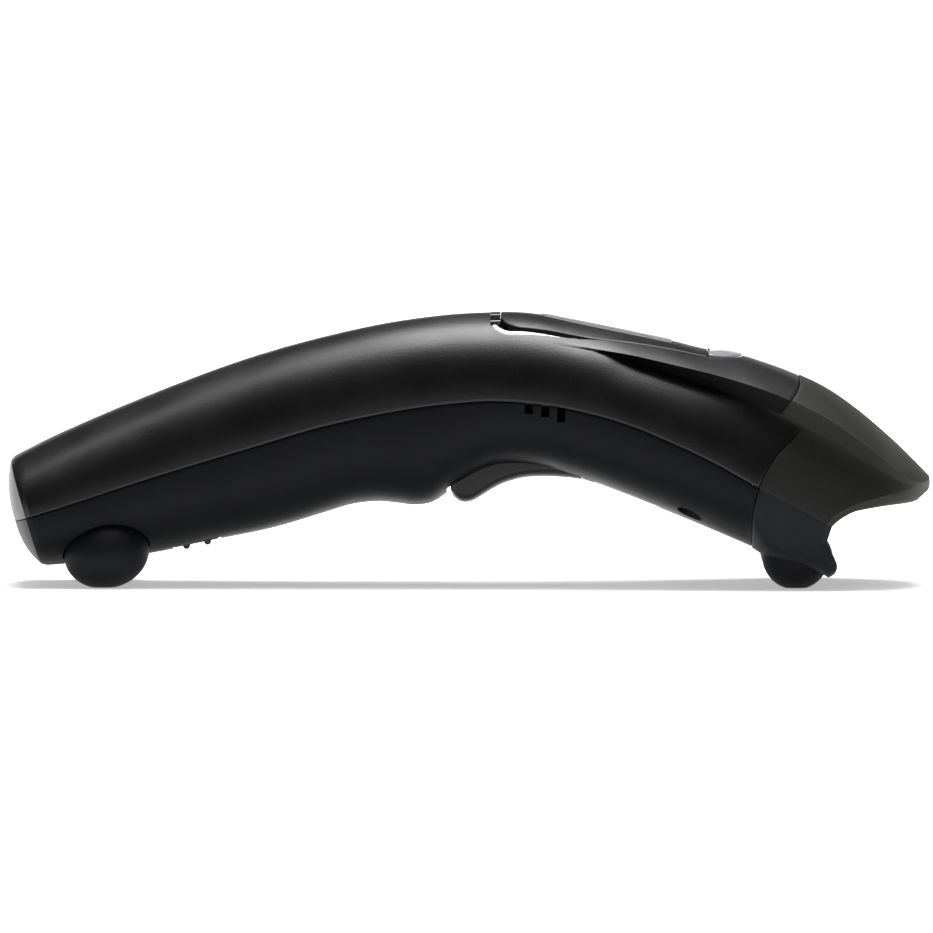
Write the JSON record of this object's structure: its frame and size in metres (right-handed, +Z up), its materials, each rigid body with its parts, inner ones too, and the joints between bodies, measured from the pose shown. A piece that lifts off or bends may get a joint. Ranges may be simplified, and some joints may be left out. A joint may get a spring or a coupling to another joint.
{
  "type": "handheld barcode scanner",
  "caption": "Cordless handheld barcode scanner: humped grip, hooded head, slanted scan window, hinged finger trigger and four ball feet.",
  "frame": {"origin": "centre of the footprint's bounding box, on the surface that the four feet stand on", "axes": "+X from the grip's tail to the nose, +Z up from the feet to the back of the housing, +Y across it"},
  "size_m": [0.1802, 0.0556, 0.0531],
  "materials": {
    "lower_plastic": "satin black, fine grained",
    "upper_plastic": "satin black, fine grained",
    "boot_plastic": "olive grey, fine texture",
    "plate_plastic": "satin",
    "strip_plastic": "gloss grey",
    "guide_plastic": "gloss white",
    "lens_plastic": "smoked clear",
    "foot_rubber": "matt",
    "trigger_plastic": "satin",
    "pin_steel": "ground",
    "bracket_steel": "zinc plated",
    "dark_plastic": "moulded",
    "pale_plastic": "moulded",
    "board": "solder mask",
    "chip": "moulded",
    "can_metal": "tinned",
    "cell_sleeve": "shrink film",
    "contact_metal": "gold plated",
    "wire": "insulation",
    "chassis_alloy": "cast",
    "optic_glass": "polished",
    "window_glass": "polished",
    "gasket_rubber": "matt",
    "screw_steel": "black oxide",
    "label": "printed film, blank"
  },
  "bodies": {
    "housing": {"bottom_shell": "lower_plastic", "top_shell": "upper_plastic", "nose_boot": "boot_plastic", "top_plate": "plate_plastic", "badge_strip": "strip_plastic", "light_guide": "guide_plastic", "indicator_lens": "lens_plastic", "rear_foot_left": "foot_rubber", "rear_foot_right": "foot_rubber", "front_foot_left": "foot_rubber", "front_foot_right": "foot_rubber", "trigger_pin": "pin_steel", "trigger_bracket": "bracket_steel", "trigger_spring": "pin_steel", "switch_body": "dark_plastic", "main_board": "board", "board_screws": "screw_steel", "processor": "chip", "memory_chips": "chip", "radio_module": "can_metal", "status_leds": "pale_plastic", "beeper": "dark_plastic", "battery_cell": "can_metal", "battery_sleeve": "cell_sleeve", "battery_cradle": "dark_plastic", "battery_tabs": "contact_metal", "battery_socket": "pale_plastic", "battery_lead": "wire", "contact_block": "dark_plastic", "charge_contacts": "contact_metal", "engine_chassis": "chassis_alloy", "engine_lens": "optic_glass", "sensor_board": "board", "illumination_leds": "pale_plastic", "aiming_laser": "contact_metal", "engine_ribbon": "contact_metal", "engine_screws": "screw_steel", "window_frame": "dark_plastic", "window_gasket": "gasket_rubber", "scan_window": "window_glass", "shell_screws": "screw_steel", "rating_label": "label"},
    "trigger": {"trigger": "trigger_plastic"},
    "plunger": {"switch_plunger": "pale_plastic"}
  },
  "joints": [
    {"name": "trigger_pivot", "type": "hinge", "parent": "housing", "child": "trigger", "pos_m": [0.0205, 0, 0.0268], "axis": [0, 1, 0], "range_deg": [0, 5], "stiffness_Nm_per_rad": 0.12, "springref_deg": -20.05, "deforming": ["trigger_spring"]},
    {"name": "plunger_slide", "type": "slide", "parent": "housing", "child": "plunger", "axis": [0, 0, 1], "range_m": [0, 0.0016]}
  ],
  "couplings": [
    {"joint": "plunger_slide", "follows": "trigger_pivot", "m_per_rad": 0.0165}
  ]
}
